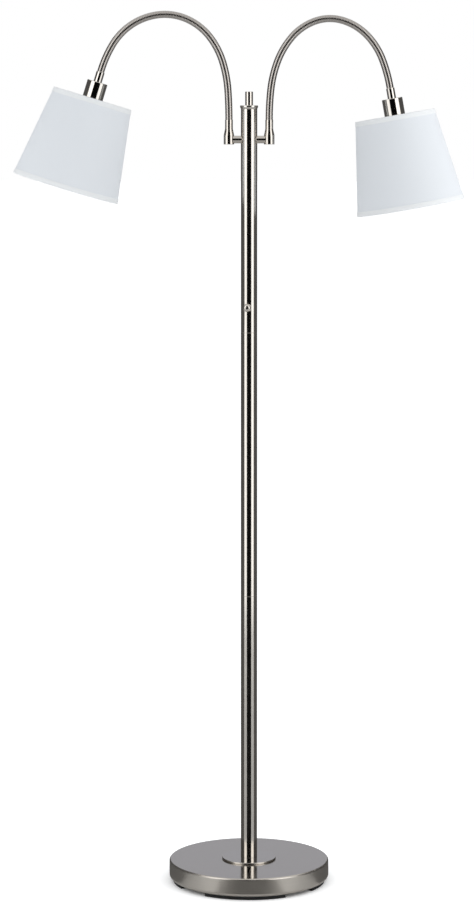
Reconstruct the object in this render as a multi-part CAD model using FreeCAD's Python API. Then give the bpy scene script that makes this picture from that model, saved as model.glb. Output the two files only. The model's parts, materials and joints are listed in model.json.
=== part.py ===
import FreeCAD
import Part
import math
import os

# Floor lamp with two goosenecks: a round weighted base, a pole in three sections, and a white
# tapered shade on each neck. Millimetres. The origin is on the floor under the pole's axis.
# +Z is up, +X is to the right as the lamp is looked at, and +Y points to the back of the lamp,
# where the cord leaves the base.

# Fits
fit = 0.05                 # radial clearance of a plug, thread or spigot in its hole
running = 0.05             # radial clearance of a ball in its cup, or of a shaft in its bearing
rim_clearance = 0.3        # least space between the rims of two neck lengths at full bend

# Base
base_radius = 139.7
cover_height = 32.0
cover_sheet = 1.2
cover_top_round = 3.0
cover_foot_round = 6.0
cover_lip = 14.0           # width of the flat lip turned in under the base
pad_radius = 133.0
pad_thickness = 6.0
pad_hole_radius = 30.0
pad_notch_depth = 15.0
pad_notch_angle = 27.0     # degrees, each of the four gaps between the feet
pad_turn = -3.5            # degrees, the feet are glued on a little off square
weight_gap = 0.3           # the cast filler shrinks this far from the cover's wall
recess_radius = 22.0
recess_depth = 15.0
nipple_radius = 4.8
nipple_bore_radius = 3.2
nipple_tail = 2.0          # thread that stands out below the nut
washer_radius = 16.0
washer_thickness = 2.0
nut_flats = 16.0
nut_height = 6.0
foot_disc_radius = 47.0
foot_disc_thickness = 3.0
foot_disc_undercut = 1.2
foot_disc_lift = 0.8
foot_disc_round = 0.8

# Cord inlet at the back of the base
inlet_height = 18.5
bushing_radius = 5.0
bushing_bore_radius = 3.2
bushing_flange_radius = 7.5
bushing_flange = 2.0
bushing_sleeve = 8.0
cord_channel_radius = 5.6

# Pole
pole_radius = 14.3
pole_wall = 1.0
section_length = 461.5     # lower and middle sections
upper_length = 389.0
seam_round = 0.4
foot_insert_length = 18.0
socket_length = 22.0
stud_radius = 8.0
stud_length = 14.0
stud_plug_length = 14.0
wire_way_radius = 5.0      # way for the wires through studs and hub
cap_flange_radius = 15.7
cap_flange = 2.8
cap_flare = 3.4
cap_plug_length = 10.0
finial_radius = 6.8
finial_height = 24.0
finial_round = 0.6
finial_stud_radius = 3.0
finial_stud_length = 11.0

# Switch, on the front of the upper section
switch_rise = 44.1         # from the upper section's foot to the switch's axis
switch_turn = 10.5         # degrees from the front, to the left
switch_width = 15.0
switch_depth = 11.0
switch_tall = 26.0
switch_front = 10.0        # from the pole's axis to the front of the switch's housing
bush_radius = 4.7
bush_standout = 2.6        # thread that stands out of the pole's wall
ring_nut_radius = 6.6
ring_nut_height = 2.2
ring_nut_round = 0.4
shaft_radius = 3.0
shaft_flat = 0.8
shaft_flat_inset = 1.0     # the flat starts this far inside the knob
knob_radius = 7.2
knob_length = 8.5
knob_front = 2.0           # thickness of the knob's closed front
knob_front_round = 6.0     # the front is domed
knob_back_round = 0.3
knob_gap = 0.5             # from the ring nut to the knob
knob_flutes = 18
knob_flute_radius = 0.45
wire_radius = 1.1
lower_wire_spread = 1.6    # from the pole's axis to each of the two wires below the switch
upper_wire_spread = 2.3    # from the pole's axis to each of the three wires above it

# Arms and neck fittings
arm_drop = 53.0            # from the pole's top end down to the arms' axis
arm_reach = 35.0           # from the pole's axis to each neck's foot
stub_radius = 6.7
spigot_radius = 4.9
stub_bore_radius = 3.2
hub_height = 28.0
elbow_radius = 9.1
elbow_drop = 8.5           # from the arm's axis down to the fitting's underside
elbow_wide = 16.0
elbow_taper = 11.0
elbow_top = 16.0
elbow_top_radius = 6.8
elbow_round = 0.6

# Goosenecks
neck_span = 49.8           # from one ball joint to the next
rib_radius = 6.35
groove_radius = 5.6
rib_count = 18             # ribs on each length
rib_crest = 0.9
rib_flank = 0.3
ball_radius = 5.0
neck_bore_radius = 3.0
bore_steps = 6             # straight runs that the bore takes through each length
joint_limit = 20.0         # degrees, the largest bend at one ball joint
left_turns = [4, 13, 21, 28, 30, 27, 26, 14]      # degrees that each length is bent by
right_turns = [6, 14, 20, 30, 37, 29, 23, 11]

# Lamp heads, measured along their own axis from the last ball joint
ferrule_radius = 7.3
ferrule_length = 18.7
ferrule_chamfer = 1.0
cup_radius = 18.0
cup_wall = 0.8
cup_length = 42.0
cup_round = 1.2
cup_show = 30.0            # of the cup's length above the shade's top rim
holder_gap = 4.0           # between the cup's top and the lampholder
holder_round = 1.0
holder_skirt = 18.0        # lampholder below the cup, threaded for the shade ring
holder_shoulder = 0.5      # step at the cup's rim, on which the shade's fitter seats
holder_thread_depth = 0.6
holder_threads = 6
crest_end = 0.4            # shares of one thread's pitch: where its crest ends,
root_start = 0.6           # where its root starts
root_end = 0.8             # and where its root ends
holder_bore_radius = 13.6
holder_floor = 16.0        # solid top of the lampholder
contact_sheet = 0.4
contact_shell_length = 26.0
contact_shell_inset = 5.0
contact_base_radius = 8.2
contact_button_radius = 4.0
contact_button_height = 1.2
spigot_short = 4.0         # the ferrule's spigot ends this far inside the lampholder's top
shade_hub_radius = 21.5
shade_hub_sheet = 1.5
shade_nut_radius = 20.5
shade_nut_height = 7.0
shade_nut_round = 0.6
shade_nut_flutes = 24
shade_nut_flute_radius = 0.9

# Bulb
bulb_cap_length = 24.0
bulb_cap_threads = 7
bulb_cap_thread_depth = 0.8
bulb_cap_chamfer = 2.0
bulb_cap_play = 0.35       # between the bulb's cap and the screw shell
bulb_tip_radius = 4.5
bulb_tip_height = 1.6
bulb_neck_radius = 12.6
bulb_radius = 30.0
bulb_length = 84.0         # of the glass below the cap
bulb_neck_length = 13.5
bulb_flank_pull = 13.5     # how far the flank keeps straight at both of its ends
bulb_shoulder = 28.0       # degrees above the ball's middle, where the flank meets it
bulb_glass_wall = 0.8

# Shade
shade_top_radius = 69.6
shade_bottom_radius = 94.2
shade_height = 162.0
shade_sheet = 0.9
ring_wire_radius = 1.3
arm_wire_radius = 1.5
shade_arms = 3
arm_clearance = 0.5        # between the fitter's arms and the lampholder's thread
trim_width = 8.0
trim_sheet = 0.6

UP = FreeCAD.Vector(0, 0, 1)
BACK = FreeCAD.Vector(0, 1, 0)
RIGHT = FreeCAD.Vector(1, 0, 0)


def vec(x, y, z):
    return FreeCAD.Vector(x, y, z)


def outline(corners):
    """A closed wire in the XZ plane. A corner is (radius, height) or (radius, height, rounding)."""
    points = [vec(corner[0], 0, corner[1]) for corner in corners]
    rounds = [corner[2] if len(corner) > 2 else 0 for corner in corners]
    count = len(points)
    edges = []
    starts = []
    ends = []
    arcs = []
    for i in range(count):
        here = points[i]
        if rounds[i] <= 0:
            starts.append(here)
            ends.append(here)
            arcs.append(None)
            continue
        back = (points[i - 1] - here).normalize()
        ahead = (points[(i + 1) % count] - here).normalize()
        half = back.getAngle(ahead) / 2
        run = rounds[i] / math.tan(half)
        middle = (back + ahead).normalize()
        centre = here + middle * (rounds[i] / math.sin(half))
        starts.append(here + back * run)
        ends.append(here + ahead * run)
        arcs.append(Part.Arc(starts[i], centre - middle * rounds[i], ends[i]).toShape())
    for i in range(count):
        if arcs[i]:
            edges.append(arcs[i])
        following = starts[(i + 1) % count]
        if (following - ends[i]).Length > 1e-6:
            edges.append(Part.LineSegment(ends[i], following).toShape())
    return Part.Wire(edges)


def turned(corners):
    """A solid of revolution about the Z axis."""
    return Part.Face(outline(corners)).revolve(vec(0, 0, 0), UP, 360)


def tube(inner, outer, low, high, edge=0):
    return turned([(inner, low), (outer, low, edge), (outer, high, edge), (inner, high)])


def rod(radius, start, end):
    """A plain cylinder from one point to another."""
    return Part.makeCylinder(radius, (end - start).Length, start, end - start)


def ball(radius, centre):
    return Part.makeSphere(radius, centre)


def around_z(shape, angle):
    turned_shape = shape.copy()
    turned_shape.rotate(vec(0, 0, 0), UP, angle)
    return turned_shape


def fluted(shape, radius, low, high, count, flute):
    """Cuts upright grooves round a knob or a ring nut."""
    cutter = Part.makeCylinder(flute, high - low, vec(radius, 0, low))
    return shape.cut(Part.makeCompound([around_z(cutter, 360 / count * i) for i in range(count)]))


def pointed(shape, origin, direction):
    """Moves a shape made about +Z so that its axis points along direction from origin."""
    placed = shape.copy()
    placed.Placement = FreeCAD.Placement(origin, FreeCAD.Rotation(UP, direction))
    return placed


# Levels of the base and the pole
cover_top = pad_thickness + cover_height
pole_foot = cover_top + foot_disc_thickness
lower_seam = pole_foot + section_length
upper_seam = lower_seam + section_length
pole_top = upper_seam + upper_length
arm_height = pole_top - arm_drop
pole_inner = pole_radius - pole_wall
plug_radius = pole_inner - fit
recess_top = pad_thickness + cover_sheet + recess_depth
nut_bottom = recess_top - washer_thickness - nut_height
nipple_hole = nipple_radius + fit

# The switch is made about +Z, with the pole's axis as its zero, and then pointed at the front
switch_height = upper_seam + switch_rise
switch_direction = vec(-math.sin(math.radians(switch_turn)), -math.cos(math.radians(switch_turn)), 0)
ring_nut_low = pole_radius + fit
bush_end = pole_radius + bush_standout
knob_low = ring_nut_low + ring_nut_height + knob_gap
shaft_end = knob_low + knob_length - knob_front
flat_low = knob_low + shaft_flat_inset


def base_cover():
    sheet = cover_sheet
    low = pad_thickness
    lip_end = base_radius - cover_foot_round - cover_lip
    shell = turned([
        (nipple_hole, cover_top),
        (base_radius, cover_top, cover_top_round),
        (base_radius, low, cover_foot_round),
        (lip_end, low),
        (lip_end, low + sheet),
        (base_radius - sheet, low + sheet, cover_foot_round - sheet),
        (base_radius - sheet, cover_top - sheet, cover_top_round - sheet),
        (nipple_hole, cover_top - sheet),
    ])
    hole = rod(bushing_radius + fit, vec(0, base_radius / 2, inlet_height),
               vec(0, base_radius * 2, inlet_height))
    return shell.cut(hole)


def base_weight():
    low = pad_thickness + cover_sheet
    high = cover_top - cover_sheet
    radius = base_radius - cover_sheet - weight_gap
    cast = turned([
        (nipple_hole, high),
        (radius, high, cover_top_round),
        (radius, low, cover_foot_round),
        (recess_radius, low),
        (recess_radius, recess_top),
        (nipple_hole, recess_top),
    ])
    channel = rod(cord_channel_radius, vec(0, recess_radius / 2, inlet_height),
                  vec(0, base_radius, inlet_height))
    return cast.cut(channel)


def base_pad():
    disc = tube(pad_hole_radius, pad_radius, 0, pad_thickness)
    notch = tube(pad_radius - pad_notch_depth, pad_radius + 1, 0, pad_thickness)
    sector = Part.makeCylinder(pad_radius + 2, pad_thickness, vec(0, 0, 0), UP, pad_notch_angle)
    sector = around_z(notch.common(sector), 45 - pad_notch_angle / 2 + pad_turn)
    return disc.cut(Part.makeCompound([around_z(sector, 90 * i) for i in range(4)]))


def base_foot_disc():
    low = cover_top
    high = cover_top + foot_disc_thickness
    neck = foot_disc_radius - foot_disc_undercut
    return turned([
        (nipple_hole, low),
        (neck, low),
        (neck, low + foot_disc_lift),
        (foot_disc_radius, low + foot_disc_lift),
        (foot_disc_radius, high, foot_disc_round),
        (nipple_hole, high),
    ])


def base_nipple():
    return tube(nipple_bore_radius, nipple_radius, nut_bottom - nipple_tail,
                pole_foot + foot_insert_length)


def base_washer():
    return tube(nipple_hole, washer_radius, recess_top - washer_thickness, recess_top)


def base_nut():
    across_corners = nut_flats / math.cos(math.radians(30))
    corners = [vec(across_corners / 2 * math.cos(math.radians(60 * i)),
                   across_corners / 2 * math.sin(math.radians(60 * i)), nut_bottom)
               for i in range(7)]
    hexagon = Part.Face(Part.makePolygon(corners)).extrude(vec(0, 0, nut_height))
    return hexagon.cut(rod(nipple_hole, vec(0, 0, nut_bottom - 1), vec(0, 0, recess_top)))


def cord_bushing():
    """A moulded bushing: sleeve through the cover's wall, flange outside, bell-mouthed bore."""
    shape = turned([
        (bushing_bore_radius, -bushing_sleeve),
        (bushing_radius, -bushing_sleeve),
        (bushing_radius, 0),
        (bushing_flange_radius, 0),
        (bushing_flange_radius, bushing_flange, bushing_flange / 2),
        (bushing_bore_radius, bushing_flange),
    ])
    return pointed(shape, vec(0, base_radius, inlet_height), BACK)


def pole_section(low, high):
    return tube(pole_inner, pole_radius, low, high, seam_round)


def pole_upper():
    section = pole_section(upper_seam, pole_top)
    arm_holes = rod(spigot_radius + fit, vec(-pole_radius - 1, 0, arm_height),
                    vec(pole_radius + 1, 0, arm_height))
    switch_hole = rod(bush_radius + fit, vec(0, 0, switch_height),
                      vec(0, 0, switch_height) + switch_direction * (pole_radius + 1))
    return section.cut(arm_holes).cut(switch_hole)


def pole_foot_insert():
    return tube(nipple_hole, plug_radius, pole_foot, pole_foot + foot_insert_length)


def pole_socket(seam):
    return tube(stud_radius + fit, plug_radius, seam - socket_length, seam)


def pole_stud(seam):
    return turned([
        (wire_way_radius, seam - stud_length),
        (stud_radius, seam - stud_length),
        (stud_radius, seam),
        (plug_radius, seam),
        (plug_radius, seam + stud_plug_length),
        (wire_way_radius, seam + stud_plug_length),
    ])


def pole_hub():
    block = tube(wire_way_radius, plug_radius, arm_height - hub_height / 2,
                 arm_height + hub_height / 2)
    return block.cut(rod(spigot_radius + fit, vec(-pole_radius, 0, arm_height),
                         vec(pole_radius, 0, arm_height)))


def pole_cap():
    """A flared cap that plugs the pole's top, drilled and tapped for the finial."""
    flange_low = pole_top + cap_flare
    flange_high = flange_low + cap_flange
    return turned([
        (finial_stud_radius + fit, flange_high),
        (cap_flange_radius, flange_high, cap_flange / 3),
        (cap_flange_radius, flange_low, cap_flange / 3),
        (pole_radius, pole_top),
        (plug_radius, pole_top),
        (plug_radius, pole_top - cap_plug_length),
        (finial_stud_radius + fit, pole_top - cap_plug_length),
    ])


def finial():
    low = pole_top + cap_flare + cap_flange
    return turned([
        (0, low - finial_stud_length),
        (finial_stud_radius, low - finial_stud_length, finial_round),
        (finial_stud_radius, low),
        (finial_radius, low),
        (finial_radius, low + finial_height, finial_round),
        (0, low + finial_height),
    ])


def in_switch(shape):
    """Points a piece of the switch to the front, with its local X staying level."""
    level = UP.cross(switch_direction)
    rotation = FreeCAD.Rotation(level, UP, switch_direction, "ZXY")
    placed = shape.copy()
    placed.Placement = FreeCAD.Placement(vec(0, 0, switch_height), rotation)
    return placed


def switch_body():
    housing = Part.makeBox(switch_width, switch_tall, switch_depth,
                           vec(-switch_width / 2, -switch_tall / 2, switch_front - switch_depth))
    bush = rod(bush_radius, vec(0, 0, switch_front), vec(0, 0, bush_end))
    bearing = rod(shaft_radius + running, vec(0, 0, switch_front - switch_depth / 2),
                  vec(0, 0, bush_end + 1))
    return in_switch(housing.fuse(bush).cut(bearing))


def switch_ring_nut():
    nut = tube(bush_radius + fit, ring_nut_radius, ring_nut_low, ring_nut_low + ring_nut_height,
               ring_nut_round)
    return in_switch(nut)


def switch_shaft():
    shaft = rod(shaft_radius, vec(0, 0, switch_front - switch_depth / 2 + running),
                vec(0, 0, shaft_end))
    flat = Part.makeBox(shaft_radius * 2, shaft_radius * 2, knob_length,
                        vec(-shaft_radius, shaft_radius - shaft_flat, flat_low))
    return in_switch(shaft.cut(flat))


def switch_knob():
    knob_high = knob_low + knob_length
    blank = turned([
        (0, knob_low),
        (knob_radius, knob_low, knob_back_round),
        (knob_radius, knob_high, knob_front_round),
        (0, knob_high),
    ])
    blank = fluted(blank, knob_radius, knob_low, knob_high, knob_flutes, knob_flute_radius)
    socket = rod(shaft_radius + fit, vec(0, 0, bush_end), vec(0, 0, shaft_end + fit))
    key = Part.makeBox(shaft_radius * 2, shaft_radius, knob_length,
                       vec(-shaft_radius, shaft_radius - shaft_flat + fit, flat_low + fit))
    return in_switch(blank.cut(socket.cut(key)))


def pole_wires():
    """Two wires from the base to the switch, and three from the switch to the arms' hub."""
    lower_high = switch_height - switch_tall / 2
    upper_low = switch_height + switch_tall / 2
    lower_place = vec(lower_wire_spread, 0, 0)
    upper_place = vec(upper_wire_spread, 0, 0)
    lower_wire = rod(wire_radius, lower_place + UP * pole_foot, lower_place + UP * lower_high)
    upper_wire = rod(wire_radius, upper_place + UP * upper_low, upper_place + UP * arm_height)
    wires = [around_z(lower_wire, 180 * i) for i in range(2)]
    wires += [around_z(upper_wire, 120 * i) for i in range(3)]
    return Part.makeCompound(wires)


# Arms, neck fittings and necks are made on the right and turned half round for the left side.
half_limit = math.radians(joint_limit / 2)
rim_space = rim_clearance / 2 / math.cos(half_limit)
rib_start = rib_radius * math.tan(half_limit) + rim_space
face_start = groove_radius * math.tan(half_limit) + rim_space
elbow_low = arm_height - elbow_drop
elbow_high = elbow_low + elbow_wide + elbow_taper + elbow_top
neck_foot = elbow_high + rib_start


def arm_stub():
    """A short tube, coped to the pole and the neck fitting, with a threaded spigot at each end."""
    start = vec(pole_radius / 2, 0, arm_height)
    end = vec(arm_reach - spigot_radius, 0, arm_height)
    pole_cope = Part.makeCylinder(pole_radius + fit, stub_radius * 4,
                                  vec(0, 0, arm_height - stub_radius * 2))
    elbow_cope = Part.makeCylinder(elbow_radius + fit, stub_radius * 4,
                                   vec(arm_reach, 0, arm_height - stub_radius * 2))
    body = rod(stub_radius, start, end).cut(pole_cope).cut(elbow_cope)
    spigots = rod(spigot_radius, start, end)
    return body.fuse(spigots).cut(rod(stub_bore_radius, start - RIGHT, end + RIGHT))


def neck_elbow():
    """The upright fitting at the end of an arm, with the first ball of the neck on its top."""
    shape = turned([
        (0, elbow_low),
        (elbow_radius, elbow_low, elbow_round),
        (elbow_radius, elbow_low + elbow_wide),
        (elbow_top_radius, elbow_low + elbow_wide + elbow_taper),
        (elbow_top_radius, elbow_high, elbow_round / 2),
        (0, elbow_high),
    ])
    shape = shape.fuse(ball(ball_radius, vec(0, 0, neck_foot)))
    shape = shape.cut(rod(neck_bore_radius, vec(0, 0, arm_height), vec(0, 0, neck_foot + ball_radius)))
    shape = shape.cut(rod(spigot_radius + fit, vec(0, 0, arm_height), vec(-elbow_radius * 2, 0, arm_height)))
    shape.translate(vec(arm_reach, 0, 0))
    return shape


def other_side(shape):
    return around_z(shape, 180)


class NeckPoint:
    """A place on a neck's centreline, in the XZ plane, with the way that the neck heads there."""

    def __init__(self, place, heading):
        self.place = place
        self.heading = heading
        self.along = vec(math.cos(heading), 0, math.sin(heading))

    def ahead(self, distance, bend):
        """The point this far along an arc that turns clockwise by bend radians on the way."""
        if abs(bend) < 1e-9:
            return NeckPoint(self.place + self.along * distance, self.heading)
        chord = distance * math.sin(bend / 2) / (bend / 2)
        middle = self.heading - bend / 2
        step = vec(math.cos(middle), 0, math.sin(middle)) * chord
        return NeckPoint(self.place + step, self.heading - bend)

    def circle(self, radius):
        """A circle round the centreline, whose X axis always points to the back."""
        rotation = FreeCAD.Rotation(BACK, self.along.cross(BACK), self.along, "ZXY")
        edge = Part.makeCircle(radius)
        edge.Placement = FreeCAD.Placement(self.place, rotation)
        return Part.Wire([edge])


def neck_joints(turns):
    """The ball joints of a neck on the right, from its fitting to its lamp head."""
    joints = [NeckPoint(vec(arm_reach, 0, neck_foot), math.radians(90))]
    for turn in turns:
        joints.append(joints[-1].ahead(neck_span, math.radians(turn)))
    return joints


def neck_length(joint, turn):
    """One ribbed length of a neck: a cup at its start, a ball at its end and a bore through both."""
    curve = math.radians(turn) / neck_span
    rib_width = rib_crest + 2 * rib_flank
    pitch = (neck_span - 2 * rib_start - rib_width) / (rib_count - 1)

    def at(distance):
        return joint.ahead(distance, curve * distance)

    circles = [at(face_start).circle(groove_radius)]
    for i in range(rib_count):
        foot = rib_start + pitch * i
        circles.append(at(foot).circle(groove_radius))
        circles.append(at(foot + rib_flank).circle(rib_radius))
        circles.append(at(foot + rib_flank + rib_crest).circle(rib_radius))
        circles.append(at(foot + rib_width).circle(groove_radius))
    circles.append(at(neck_span - face_start).circle(groove_radius))
    body = Part.makeLoft(circles, True, True)
    end = at(neck_span)
    rings = [at(neck_span * i / bore_steps).circle(neck_bore_radius) for i in range(bore_steps + 1)]
    rings.append(end.ahead(ball_radius, 0).circle(neck_bore_radius))
    bore = Part.makeLoft(rings, True, True)
    body = body.fuse(ball(ball_radius, end.place))
    return body.cut(ball(ball_radius + running, joint.place)).cut(bore)


# A lamp head is made hanging below its joint, which is at the origin, so its places are depths
ferrule_low = rib_start + ferrule_length
cup_low = ferrule_low + cup_length
shade_high = ferrule_low + cup_show
shade_low = shade_high + shade_height
holder_high = ferrule_low + holder_gap
holder_low = cup_low + holder_skirt
holder_roof = holder_high + holder_floor
holder_radius = cup_radius - cup_wall - fit
thread_radius = holder_radius - holder_shoulder
hub_low = cup_low + shade_hub_sheet
spigot_low = holder_roof - spigot_short
button_low = holder_roof + contact_button_height
shell_radius = holder_bore_radius - fit
cap_high = button_low + bulb_tip_height
cap_low = cap_high + bulb_cap_length
cap_radius = shell_radius - contact_sheet - bulb_cap_play


def hanging(corners):
    """A turned piece of a lamp head, from corners given as (radius, depth, rounding)."""
    return turned([(corner[0], -corner[1]) + tuple(corner[2:]) for corner in corners])


def ferrule():
    """The neck's end fitting: it holds the last ball, and its spigot screws into the lampholder."""
    shape = hanging([
        (0, rib_start),
        (ferrule_radius - ferrule_chamfer, rib_start),
        (ferrule_radius, rib_start + ferrule_chamfer),
        (ferrule_radius, ferrule_low),
        (spigot_radius, ferrule_low),
        (spigot_radius, spigot_low),
        (0, spigot_low),
    ])
    bore = rod(neck_bore_radius, vec(0, 0, 0), vec(0, 0, -spigot_low - 1))
    return shape.cut(ball(ball_radius + running, vec(0, 0, 0))).cut(bore)


def socket_cup():
    inner = cup_radius - cup_wall
    return hanging([
        (spigot_radius + fit, ferrule_low),
        (cup_radius, ferrule_low, cup_round),
        (cup_radius, cup_low),
        (inner, cup_low),
        (inner, ferrule_low + cup_wall),
        (spigot_radius + fit, ferrule_low + cup_wall),
    ])


def lampholder():
    """A moulded lampholder: plain inside the cup, threaded below it for the shade ring."""
    corners = [
        (spigot_radius + fit, holder_high),
        (holder_radius, holder_high, holder_round),
        (holder_radius, cup_low),
        (thread_radius, cup_low),
    ]
    pitch = holder_skirt / holder_threads
    for i in range(holder_threads):
        top = cup_low + pitch * i
        corners.append((thread_radius, top + pitch * crest_end))
        corners.append((thread_radius - holder_thread_depth, top + pitch * root_start))
        corners.append((thread_radius - holder_thread_depth, top + pitch * root_end))
        corners.append((thread_radius, top + pitch))
    corners.append((holder_bore_radius, holder_low))
    corners.append((holder_bore_radius, holder_roof))
    corners.append((spigot_radius + fit, holder_roof))
    return hanging(corners)


def lampholder_contacts():
    """The brass screw shell and the spring contact under the lampholder's roof."""
    shell_high = holder_roof + contact_shell_inset
    shell = hanging([
        (shell_radius, shell_high),
        (shell_radius, shell_high + contact_shell_length),
        (shell_radius - contact_sheet, shell_high + contact_shell_length),
        (shell_radius - contact_sheet, shell_high),
    ])
    button = hanging([
        (0, holder_roof),
        (contact_base_radius, holder_roof),
        (contact_base_radius, holder_roof + contact_button_height / 2),
        (contact_button_radius, button_low),
        (0, button_low),
    ])
    return Part.makeCompound([shell, button])


def bulb_cap():
    pitch = bulb_cap_length / (bulb_cap_threads + 1)
    root_radius = cap_radius - bulb_cap_thread_depth
    corners = [(0, button_low), (bulb_tip_radius, button_low), (cap_radius - bulb_cap_chamfer, cap_high)]
    for i in range(bulb_cap_threads):
        corners.append((cap_radius, cap_high + pitch * (i + 0.5)))
        corners.append((root_radius, cap_high + pitch * (i + 1)))
    corners.append((root_radius, cap_low))
    corners.append((0, cap_low))
    return hanging(corners)


def bulb_glass():
    """The glass envelope: a narrow neck that swells into a round end."""
    end = cap_low + bulb_length
    centre = end - bulb_radius
    neck_end = cap_low + bulb_neck_length
    side = math.radians(bulb_shoulder)

    def envelope(inset):
        neck = bulb_neck_radius - inset
        radius = bulb_radius - inset
        shoulder = vec(radius * math.cos(side), 0, radius * math.sin(side) - centre)
        profile = [
            Part.LineSegment(vec(0, 0, -cap_low - inset), vec(neck, 0, -cap_low - inset)).toShape(),
            Part.LineSegment(vec(neck, 0, -cap_low - inset), vec(neck, 0, -neck_end)).toShape(),
        ]
        flank = Part.BezierCurve()
        flank.setPoles([
            vec(neck, 0, -neck_end),
            vec(neck, 0, -neck_end - bulb_flank_pull),
            shoulder + vec(-math.sin(side), 0, math.cos(side)) * bulb_flank_pull,
            shoulder,
        ])
        profile.append(flank.toShape())
        dome_middle = vec(radius * math.cos(side / 2), 0, -centre - radius * math.sin(side / 2))
        bottom = vec(0, 0, -centre - radius)
        profile.append(Part.Arc(shoulder, dome_middle, bottom).toShape())
        profile.append(Part.LineSegment(bottom, vec(0, 0, -cap_low - inset)).toShape())
        return Part.Face(Part.Wire(profile)).revolve(vec(0, 0, 0), UP, 360)

    return envelope(0).cut(envelope(bulb_glass_wall))


def shade_ring_nut():
    nut = hanging([
        (thread_radius + fit, hub_low),
        (shade_nut_radius, hub_low, shade_nut_round),
        (shade_nut_radius, hub_low + shade_nut_height, shade_nut_round),
        (thread_radius + fit, hub_low + shade_nut_height),
    ])
    return fluted(nut, shade_nut_radius + shade_nut_flute_radius / 2, -hub_low - shade_nut_height, -hub_low,
                  shade_nut_flutes, shade_nut_flute_radius)


def shade_radius(depth):
    """The fabric's outer radius at this depth below the last ball joint."""
    share = (depth - shade_high) / shade_height
    return shade_top_radius + (shade_bottom_radius - shade_top_radius) * share


def wire_ring(depth):
    """A wire ring that lies just inside the fabric."""
    slope = math.atan2(shade_bottom_radius - shade_top_radius, shade_height)
    radius = shade_radius(depth) - (shade_sheet + ring_wire_radius + fit) / math.cos(slope)
    return Part.makeTorus(radius, ring_wire_radius, vec(0, 0, -depth)), radius


def shade_frame():
    """The fitter, whose hub and arms carry the top ring, and the separate bottom ring."""
    top_depth = shade_high + ring_wire_radius + fit
    top_ring, top_radius = wire_ring(top_depth)
    bottom_ring, _ = wire_ring(shade_low - ring_wire_radius - fit)
    hub = hanging([
        (thread_radius + fit, cup_low),
        (shade_hub_radius, cup_low),
        (shade_hub_radius, hub_low),
        (thread_radius + fit, hub_low),
    ])
    arm = rod(arm_wire_radius, vec(shade_hub_radius - arm_wire_radius, 0, -hub_low + arm_wire_radius / 2),
              vec(top_radius, 0, -top_depth))
    arm = arm.cut(rod(thread_radius + fit + arm_clearance, vec(0, 0, 0), vec(0, 0, -shade_low)))
    arm = arm.cut(tube(thread_radius, shade_hub_radius + shade_hub_sheet, -shade_low, -hub_low))
    fitter = hub.fuse(top_ring)
    for i in range(shade_arms):
        fitter = fitter.fuse(around_z(arm, 360 / shade_arms * i + 90))
    return Part.makeCompound([fitter, bottom_ring])


def shade_fabric():
    return hanging([
        (shade_top_radius - shade_sheet, shade_high),
        (shade_top_radius, shade_high),
        (shade_bottom_radius, shade_low),
        (shade_bottom_radius - shade_sheet, shade_low),
    ])


def shade_trims():
    """The folded trims: a band outside each rim that turns in over the edge and the wire."""
    turn_in = shade_sheet + 2 * ring_wire_radius
    bands = []
    for edge, way in ((shade_high, 1), (shade_low, -1)):
        inside = edge + way * trim_width
        radius = shade_radius(edge)
        bands.append(hanging([
            (radius - turn_in, edge - way * trim_sheet),
            (radius + trim_sheet + fit, edge - way * trim_sheet),
            (shade_radius(inside) + trim_sheet + fit, inside),
            (shade_radius(inside) + fit, inside),
            (radius + fit, edge),
            (radius - turn_in, edge),
        ]))
    return Part.makeCompound(bands)


def on_head(shape, joint):
    """Hangs a head's piece on the last joint of a neck on the right."""
    rotation = FreeCAD.Rotation(vec(0, 0, -1), joint.along)
    placed = shape.copy()
    placed.Placement = FreeCAD.Placement(joint.place, rotation)
    return placed


def save(name, shape):
    solids = shape.Solids
    if not shape.isValid() or not solids:
        raise ValueError(name + " is not a valid solid")
    shape.exportStep("parts/" + name + ".step")
    print(name, len(solids), "solids", round(shape.Volume / 1000, 2), "cm3")


os.makedirs("parts", exist_ok=True)

stand = {
    "base_cover": base_cover(),
    "base_weight": base_weight(),
    "base_pad": base_pad(),
    "base_foot_disc": base_foot_disc(),
    "base_nipple": base_nipple(),
    "base_washer": base_washer(),
    "base_nut": base_nut(),
    "cord_bushing": cord_bushing(),
    "pole_lower": pole_section(pole_foot, lower_seam),
    "pole_middle": pole_section(lower_seam, upper_seam),
    "pole_upper": pole_upper(),
    "pole_foot_insert": pole_foot_insert(),
    "pole_sockets": Part.makeCompound([pole_socket(lower_seam), pole_socket(upper_seam)]),
    "pole_studs": Part.makeCompound([pole_stud(lower_seam), pole_stud(upper_seam)]),
    "pole_hub": pole_hub(),
    "pole_cap": pole_cap(),
    "finial": finial(),
    "pole_wires": pole_wires(),
    "arm_stubs": Part.makeCompound([other_side(arm_stub()), arm_stub()]),
    "neck_elbows": Part.makeCompound([other_side(neck_elbow()), neck_elbow()]),
    "switch_body": switch_body(),
    "switch_ring_nut": switch_ring_nut(),
    "switch_shaft": switch_shaft(),
    "switch_knob": switch_knob(),
}
for name, shape in stand.items():
    save(name, shape)

head_pieces = {
    "ferrule": ferrule(),
    "socket_cup": socket_cup(),
    "lampholder": lampholder(),
    "lampholder_contacts": lampholder_contacts(),
    "bulb_cap": bulb_cap(),
    "bulb_glass": bulb_glass(),
    "shade_ring_nut": shade_ring_nut(),
    "shade_frame": shade_frame(),
    "shade_fabric": shade_fabric(),
    "shade_trims": shade_trims(),
}
for side, turns in (("left", left_turns), ("right", right_turns)):
    joints = neck_joints(turns)
    pieces = {}
    for i, turn in enumerate(turns):
        pieces["neck_length_" + str(i + 1)] = neck_length(joints[i], turn)
    for name, shape in head_pieces.items():
        pieces[name] = on_head(shape, joints[-1])
    for name, shape in pieces.items():
        save(side + "_" + name, other_side(shape) if side == "left" else shape)
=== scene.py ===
import json
import math

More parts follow.
